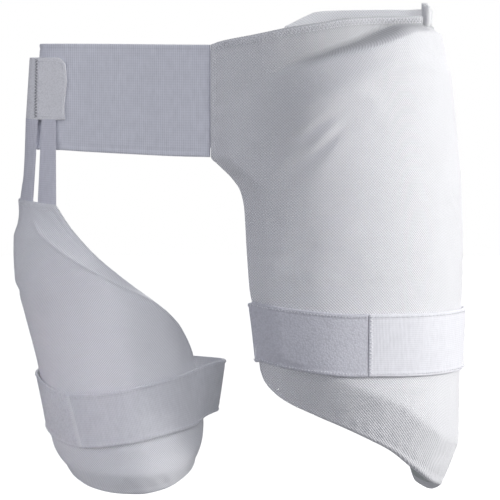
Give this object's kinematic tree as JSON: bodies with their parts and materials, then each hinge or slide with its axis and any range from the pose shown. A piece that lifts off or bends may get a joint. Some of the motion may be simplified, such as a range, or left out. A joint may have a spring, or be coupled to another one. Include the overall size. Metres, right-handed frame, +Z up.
{
  "type": "cricket lower body protector",
  "caption": "Padded outer and inner thigh guards for batting, joined by a wide elastic waist belt, each with a leg strap, kept in their worn, hanging form",
  "frame": {"origin": "middle of the waist loop at the belt's mid height, where the wearer's waist holds it", "axes": "+Z up along the waist axis, -Y to the front of the wearer, +X to the large outer thigh pad"},
  "size_m": [0.3776, 0.2273, 0.416],
  "materials": {
    "pad_cover": "matt white twill cover over foam",
    "lining": "grey knitted lining",
    "wing_cloth": "matt white twill",
    "belt_elastic": "ribbed white elastic",
    "tab_cloth": "white brushed tape, stitched",
    "webbing_front": "white webbing",
    "webbing_back": "white webbing",
    "inner_cover": "matt white twill cover over foam",
    "pile_large": "white loop pile",
    "elastic_large": "ribbed white elastic",
    "pile_small": "white loop pile",
    "elastic_small": "ribbed white elastic"
  },
  "bodies": {
    "root": {"outer_thigh_pad": "pad_cover", "outer_pad_lining": "lining", "rear_wing": "wing_cloth", "waist_belt": "belt_elastic", "hanger_tab": "tab_cloth", "hanger_strap_front": "webbing_front", "hanger_strap_back": "webbing_back", "inner_thigh_pad": "inner_cover", "outer_strap_pile": "pile_large", "outer_strap_elastic": "elastic_large", "inner_strap_pile": "pile_small", "inner_strap_elastic": "elastic_small"}
  },
  "joints": []
}
